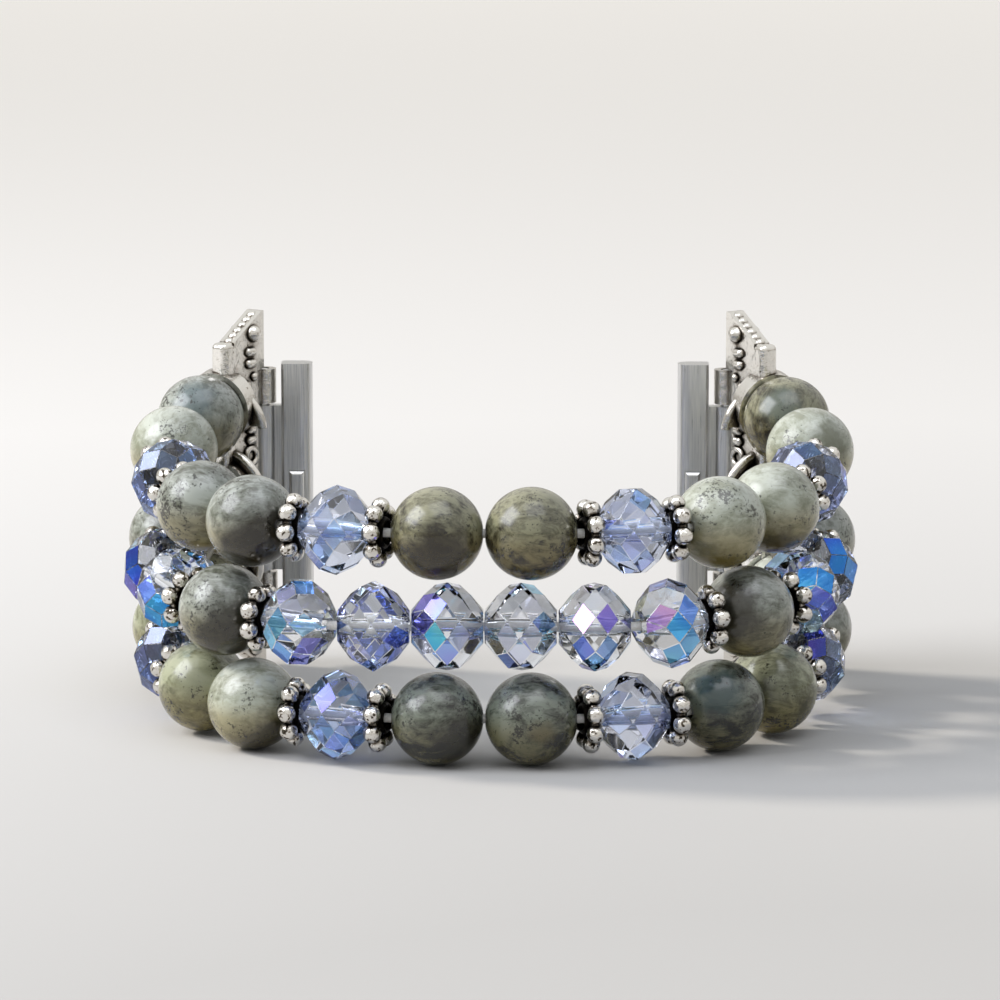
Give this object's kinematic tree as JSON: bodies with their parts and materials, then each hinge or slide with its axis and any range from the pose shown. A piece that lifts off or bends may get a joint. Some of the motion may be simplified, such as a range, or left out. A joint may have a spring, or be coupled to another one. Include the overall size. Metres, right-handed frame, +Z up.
{
  "type": "beaded stretch watch band",
  "caption": "Stretch watch band of round stone beads, cut crystal rondelles and daisy spacers in rows on elastic cord, with hinged cast end bars and slide-in watch lugs.",
  "frame": {"origin": "on the floor that the band stands on, in the middle of its width and depth", "axes": "+X to the right along the front of the loop, +Y from the front rows to the watch end, +Z up across the rows"},
  "size_m": [0.0662, 0.0492, 0.0337],
  "materials": {
    "labradorite": "polished",
    "blue_crystal": "faceted, iridescent",
    "clear_crystal": "faceted, iridescent",
    "antique_silver": "cast, darkened in the recesses",
    "elastic": "satin",
    "steel": "satin",
    "spring_steel": "bright"
  },
  "bodies": {
    "front_right": {"daisies_front_right": "antique_silver", "elastic_cords": "elastic"},
    "front_left": {"daisies_front_left": "antique_silver"},
    "side_right": {"daisies_side_right": "antique_silver"},
    "side_left": {"daisies_side_left": "antique_silver"},
    "end_right": {"end_bar_right": "antique_silver", "hinge_pin_right": "steel"},
    "end_left": {"end_bar_left": "antique_silver", "hinge_pin_left": "steel"},
    "lug_right": {"watch_lug_right": "steel", "latch_spring_right": "spring_steel"},
    "lug_left": {"watch_lug_left": "steel", "latch_spring_left": "spring_steel"},
    "latch_right": {"latch_button_right": "steel"},
    "latch_left": {"latch_button_left": "steel"},
    "stone_bottom_left_1": {"stone_bottom_left_1": "labradorite"},
    "crystal_bottom_left_2": {"crystal_bottom_left_2": "blue_crystal"},
    "stone_bottom_left_3": {"stone_bottom_left_3": "labradorite"},
    "stone_bottom_left_4": {"stone_bottom_left_4": "labradorite"},
    "crystal_bottom_left_5": {"crystal_bottom_left_5": "blue_crystal"},
    "stone_bottom_left_6": {"stone_bottom_left_6": "labradorite"},
    "stone_bottom_left_7": {"stone_bottom_left_7": "labradorite"},
    "stone_bottom_right_1": {"stone_bottom_right_1": "labradorite"},
    "crystal_bottom_right_2": {"crystal_bottom_right_2": "blue_crystal"},
    "stone_bottom_right_3": {"stone_bottom_right_3": "labradorite"},
    "stone_bottom_right_4": {"stone_bottom_right_4": "labradorite"},
    "crystal_bottom_right_5": {"crystal_bottom_right_5": "blue_crystal"},
    "stone_bottom_right_6": {"stone_bottom_right_6": "labradorite"},
    "stone_bottom_right_7": {"stone_bottom_right_7": "labradorite"},
    "crystal_middle_left_1": {"crystal_middle_left_1": "clear_crystal"},
    "crystal_middle_left_2": {"crystal_middle_left_2": "clear_crystal"},
    "crystal_middle_left_3": {"crystal_middle_left_3": "clear_crystal"},
    "stone_middle_left_4": {"stone_middle_left_4": "labradorite"},
    "crystal_middle_left_5": {"crystal_middle_left_5": "clear_crystal"},
    "crystal_middle_left_6": {"crystal_middle_left_6": "clear_crystal"},
    "stone_middle_left_7": {"stone_middle_left_7": "labradorite"},
    "stone_middle_left_8": {"stone_middle_left_8": "labradorite"},
    "crystal_middle_right_1": {"crystal_middle_right_1": "clear_crystal"},
    "crystal_middle_right_2": {"crystal_middle_right_2": "clear_crystal"},
    "crystal_middle_right_3": {"crystal_middle_right_3": "clear_crystal"},
    "stone_middle_right_4": {"stone_middle_right_4": "labradorite"},
    "crystal_middle_right_5": {"crystal_middle_right_5": "clear_crystal"},
    "crystal_middle_right_6": {"crystal_middle_right_6": "clear_crystal"},
    "stone_middle_right_7": {"stone_middle_right_7": "labradorite"},
    "stone_middle_right_8": {"stone_middle_right_8": "labradorite"},
    "stone_top_left_1": {"stone_top_left_1": "labradorite"},
    "crystal_top_left_2": {"crystal_top_left_2": "blue_crystal"},
    "stone_top_left_3": {"stone_top_left_3": "labradorite"},
    "stone_top_left_4": {"stone_top_left_4": "labradorite"},
    "crystal_top_left_5": {"crystal_top_left_5": "blue_crystal"},
    "stone_top_left_6": {"stone_top_left_6": "labradorite"},
    "stone_top_left_7": {"stone_top_left_7": "labradorite"},
    "stone_top_right_1": {"stone_top_right_1": "labradorite"},
    "crystal_top_right_2": {"crystal_top_right_2": "blue_crystal"},
    "stone_top_right_3": {"stone_top_right_3": "labradorite"},
    "stone_top_right_4": {"stone_top_right_4": "labradorite"},
    "crystal_top_right_5": {"crystal_top_right_5": "blue_crystal"},
    "stone_top_right_6": {"stone_top_right_6": "labradorite"},
    "stone_top_right_7": {"stone_top_right_7": "labradorite"}
  },
  "joints": [
    {"name": "stretch", "type": "slide", "parent": "front_right", "child": "front_left", "axis": [-1, 0, 0], "range_m": [0, 0.012], "stiffness_N_per_m": 500, "springref_m": -0.002, "deforming": ["elastic_cords"]},
    {"name": "flex_right", "type": "hinge", "parent": "front_right", "child": "side_right", "pos_m": [0.02273, -0.01347, 0.004], "axis": [0, 0, 1], "range_deg": [-10, 3], "deforming": ["elastic_cords"]},
    {"name": "end_bar_turn_right", "type": "hinge", "parent": "side_right", "child": "end_right", "pos_m": [0.02701, 0.01633, 0.01685], "axis": [0, 0, 1], "range_deg": [-10, 10], "deforming": ["elastic_cords"]},
    {"name": "lug_hinge_right", "type": "hinge", "parent": "end_right", "child": "lug_right", "pos_m": [0.02175, 0.02336, 0.01685], "axis": [0, 0, 1], "range_deg": [-20, 30]},
    {"name": "latch_press_right", "type": "slide", "parent": "lug_right", "child": "latch_right", "axis": [0, 1, 0], "range_m": [0, 0.0004], "stiffness_N_per_m": 300, "springref_m": -0.0005, "deforming": ["latch_spring_right"]},
    {"name": "flex_left", "type": "hinge", "parent": "front_left", "child": "side_left", "pos_m": [-0.02273, -0.01347, 0.004], "axis": [0, 0, 1], "range_deg": [-3, 10], "deforming": ["elastic_cords"]},
    {"name": "end_bar_turn_left", "type": "hinge", "parent": "side_left", "child": "end_left", "pos_m": [-0.02701, 0.01633, 0.01685], "axis": [0, 0, 1], "range_deg": [-10, 10], "deforming": ["elastic_cords"]},
    {"name": "lug_hinge_left", "type": "hinge", "parent": "end_left", "child": "lug_left", "pos_m": [-0.02175, 0.02336, 0.01685], "axis": [0, 0, 1], "range_deg": [-30, 20]},
    {"name": "latch_press_left", "type": "slide", "parent": "lug_left", "child": "latch_left", "axis": [0, 1, 0], "range_m": [0, 0.0004], "stiffness_N_per_m": 300, "springref_m": -0.0005, "deforming": ["latch_spring_left"]},
    {"name": "spin_stone_bottom_left_1", "type": "hinge", "parent": "front_left", "child": "stone_bottom_left_1", "pos_m": [-0.00403, -0.02061, 0.004], "axis": [-1, 0, 0], "continuous": true},
    {"name": "spin_crystal_bottom_left_2", "type": "hinge", "parent": "front_left", "child": "crystal_bottom_left_2", "pos_m": [-0.01263, -0.01912, 0.004], "axis": [-0.9492, 0.3148, 0], "continuous": true},
    {"name": "spin_stone_bottom_left_3", "type": "hinge", "parent": "front_left", "child": "stone_bottom_left_3", "pos_m": [-0.02021, -0.01458, 0.004], "axis": [-0.7028, 0.7113, 0], "continuous": true},
    {"name": "spin_stone_bottom_left_4", "type": "hinge", "parent": "side_left", "child": "stone_bottom_left_4", "pos_m": [-0.02506, -0.00815, 0.00419], "axis": [-0.4907, 0.8701, 0.046], "continuous": true},
    {"name": "spin_crystal_bottom_left_5", "type": "hinge", "parent": "side_left", "child": "crystal_bottom_left_5", "pos_m": [-0.02814, -0.00003, 0.00498], "axis": [-0.2257, 0.9657, 0.128], "continuous": true},
    {"name": "spin_stone_bottom_left_6", "type": "hinge", "parent": "side_left", "child": "stone_bottom_left_6", "pos_m": [-0.02888, 0.00858, 0.00634], "axis": [0.0802, 0.9799, 0.1825], "continuous": true},
    {"name": "spin_stone_bottom_left_7", "type": "hinge", "parent": "side_left", "child": "stone_bottom_left_7", "pos_m": [-0.02702, 0.01626, 0.00789], "axis": [0.377, 0.9045, 0.1994], "continuous": true},
    {"name": "spin_stone_bottom_right_1", "type": "hinge", "parent": "front_right", "child": "stone_bottom_right_1", "pos_m": [0.00403, -0.02061, 0.004], "axis": [1, 0, 0], "continuous": true},
    {"name": "spin_crystal_bottom_right_2", "type": "hinge", "parent": "front_right", "child": "crystal_bottom_right_2", "pos_m": [0.01263, -0.01912, 0.004], "axis": [0.9492, 0.3148, 0], "continuous": true},
    {"name": "spin_stone_bottom_right_3", "type": "hinge", "parent": "front_right", "child": "stone_bottom_right_3", "pos_m": [0.02021, -0.01458, 0.004], "axis": [0.7028, 0.7113, 0], "continuous": true},
    {"name": "spin_stone_bottom_right_4", "type": "hinge", "parent": "side_right", "child": "stone_bottom_right_4", "pos_m": [0.02506, -0.00815, 0.00419], "axis": [0.4907, 0.8701, 0.046], "continuous": true},
    {"name": "spin_crystal_bottom_right_5", "type": "hinge", "parent": "side_right", "child": "crystal_bottom_right_5", "pos_m": [0.02814, -0.00003, 0.00498], "axis": [0.2257, 0.9657, 0.128], "continuous": true},
    {"name": "spin_stone_bottom_right_6", "type": "hinge", "parent": "side_right", "child": "stone_bottom_right_6", "pos_m": [0.02888, 0.00858, 0.00634], "axis": [-0.0802, 0.9799, 0.1825], "continuous": true},
    {"name": "spin_stone_bottom_right_7", "type": "hinge", "parent": "side_right", "child": "stone_bottom_right_7", "pos_m": [0.02702, 0.01626, 0.00789], "axis": [-0.377, 0.9045, 0.1994], "continuous": true},
    {"name": "spin_crystal_middle_left_1", "type": "hinge", "parent": "front_left", "child": "crystal_middle_left_1", "pos_m": [-0.00314, -0.02068, 0.01205], "axis": [-0.9997, -0.0227, 0], "continuous": true},
    {"name": "spin_crystal_middle_left_2", "type": "hinge", "parent": "front_left", "child": "crystal_middle_left_2", "pos_m": [-0.00942, -0.02067, 0.01205], "axis": [-0.9997, 0.0262, 0], "continuous": true},
    {"name": "spin_crystal_middle_left_3", "type": "hinge", "parent": "front_left", "child": "crystal_middle_left_3", "pos_m": [-0.01586, -0.0189, 0.01205], "axis": [-0.8722, 0.4891, 0], "continuous": true},
    {"name": "spin_stone_middle_left_4", "type": "hinge", "parent": "front_left", "child": "stone_middle_left_4", "pos_m": [-0.02273, -0.01347, 0.01207], "axis": [-0.6591, 0.752, 0.0049], "continuous": true},
    {"name": "spin_crystal_middle_left_5", "type": "hinge", "parent": "side_left", "child": "crystal_middle_left_5", "pos_m": [-0.02733, -0.00604, 0.01242], "axis": [-0.3996, 0.9141, 0.0694], "continuous": true},
    {"name": "spin_crystal_middle_left_6", "type": "hinge", "parent": "side_left", "child": "crystal_middle_left_6", "pos_m": [-0.02908, 0.00025, 0.01312], "axis": [-0.1274, 0.9818, 0.141], "continuous": true},
    {"name": "spin_stone_middle_left_7", "type": "hinge", "parent": "side_left", "child": "stone_middle_left_7", "pos_m": [-0.02912, 0.00885, 0.01456], "axis": [0.1388, 0.9718, 0.1907], "continuous": true},
    {"name": "spin_stone_middle_left_8", "type": "hinge", "parent": "side_left", "child": "stone_middle_left_8", "pos_m": [-0.02697, 0.01645, 0.01619], "axis": [0.3893, 0.8971, 0.209], "continuous": true},
    {"name": "spin_crystal_middle_right_1", "type": "hinge", "parent": "front_right", "child": "crystal_middle_right_1", "pos_m": [0.00314, -0.02068, 0.01205], "axis": [0.9997, -0.0227, 0], "continuous": true},
    {"name": "spin_crystal_middle_right_2", "type": "hinge", "parent": "front_right", "child": "crystal_middle_right_2", "pos_m": [0.00942, -0.02067, 0.01205], "axis": [0.9997, 0.0262, 0], "continuous": true},
    {"name": "spin_crystal_middle_right_3", "type": "hinge", "parent": "front_right", "child": "crystal_middle_right_3", "pos_m": [0.01586, -0.0189, 0.01205], "axis": [0.8722, 0.4891, 0], "continuous": true},
    {"name": "spin_stone_middle_right_4", "type": "hinge", "parent": "front_right", "child": "stone_middle_right_4", "pos_m": [0.02273, -0.01347, 0.01207], "axis": [0.6591, 0.752, 0.0049], "continuous": true},
    {"name": "spin_crystal_middle_right_5", "type": "hinge", "parent": "side_right", "child": "crystal_middle_right_5", "pos_m": [0.02733, -0.00604, 0.01242], "axis": [0.3996, 0.9141, 0.0694], "continuous": true},
    {"name": "spin_crystal_middle_right_6", "type": "hinge", "parent": "side_right", "child": "crystal_middle_right_6", "pos_m": [0.02908, 0.00025, 0.01312], "axis": [0.1274, 0.9818, 0.141], "continuous": true},
    {"name": "spin_stone_middle_right_7", "type": "hinge", "parent": "side_right", "child": "stone_middle_right_7", "pos_m": [0.02912, 0.00885, 0.01456], "axis": [-0.1388, 0.9718, 0.1907], "continuous": true},
    {"name": "spin_stone_middle_right_8", "type": "hinge", "parent": "side_right", "child": "stone_middle_right_8", "pos_m": [0.02697, 0.01645, 0.01619], "axis": [-0.3893, 0.8971, 0.209], "continuous": true},
    {"name": "spin_stone_top_left_1", "type": "hinge", "parent": "front_left", "child": "stone_top_left_1", "pos_m": [-0.00403, -0.02061, 0.0201], "axis": [-1, 0, 0], "continuous": true},
    {"name": "spin_crystal_top_left_2", "type": "hinge", "parent": "front_left", "child": "crystal_top_left_2", "pos_m": [-0.01263, -0.01912, 0.0201], "axis": [-0.9492, 0.3148, 0], "continuous": true},
    {"name": "spin_stone_top_left_3", "type": "hinge", "parent": "front_left", "child": "stone_top_left_3", "pos_m": [-0.02021, -0.01458, 0.0201], "axis": [-0.7028, 0.7113, 0.0001], "continuous": true},
    {"name": "spin_stone_top_left_4", "type": "hinge", "parent": "side_left", "child": "stone_top_left_4", "pos_m": [-0.02506, -0.00815, 0.02031], "axis": [-0.4906, 0.8699, 0.0507], "continuous": true},
    {"name": "spin_crystal_top_left_5", "type": "hinge", "parent": "side_left", "child": "crystal_top_left_5", "pos_m": [-0.02814, -0.00003, 0.02118], "axis": [-0.2255, 0.964, 0.1409], "continuous": true},
    {"name": "spin_stone_top_left_6", "type": "hinge", "parent": "side_left", "child": "stone_top_left_6", "pos_m": [-0.02888, 0.00855, 0.02267], "axis": [0.0788, 0.9765, 0.2003], "continuous": true},
    {"name": "spin_stone_top_left_7", "type": "hinge", "parent": "side_left", "child": "stone_top_left_7", "pos_m": [-0.02704, 0.01621, 0.02438], "axis": [0.3732, 0.9015, 0.219], "continuous": true},
    {"name": "spin_stone_top_right_1", "type": "hinge", "parent": "front_right", "child": "stone_top_right_1", "pos_m": [0.00403, -0.02061, 0.0201], "axis": [1, 0, 0], "continuous": true},
    {"name": "spin_crystal_top_right_2", "type": "hinge", "parent": "front_right", "child": "crystal_top_right_2", "pos_m": [0.01263, -0.01912, 0.0201], "axis": [0.9492, 0.3148, 0], "continuous": true},
    {"name": "spin_stone_top_right_3", "type": "hinge", "parent": "front_right", "child": "stone_top_right_3", "pos_m": [0.02021, -0.01458, 0.0201], "axis": [0.7028, 0.7113, 0.0001], "continuous": true},
    {"name": "spin_stone_top_right_4", "type": "hinge", "parent": "side_right", "child": "stone_top_right_4", "pos_m": [0.02506, -0.00815, 0.02031], "axis": [0.4906, 0.8699, 0.0507], "continuous": true},
    {"name": "spin_crystal_top_right_5", "type": "hinge", "parent": "side_right", "child": "crystal_top_right_5", "pos_m": [0.02814, -0.00003, 0.02118], "axis": [0.2255, 0.964, 0.1409], "continuous": true},
    {"name": "spin_stone_top_right_6", "type": "hinge", "parent": "side_right", "child": "stone_top_right_6", "pos_m": [0.02888, 0.00855, 0.02267], "axis": [-0.0788, 0.9765, 0.2003], "continuous": true},
    {"name": "spin_stone_top_right_7", "type": "hinge", "parent": "side_right", "child": "stone_top_right_7", "pos_m": [0.02704, 0.01621, 0.02438], "axis": [-0.3732, 0.9015, 0.219], "continuous": true}
  ]
}
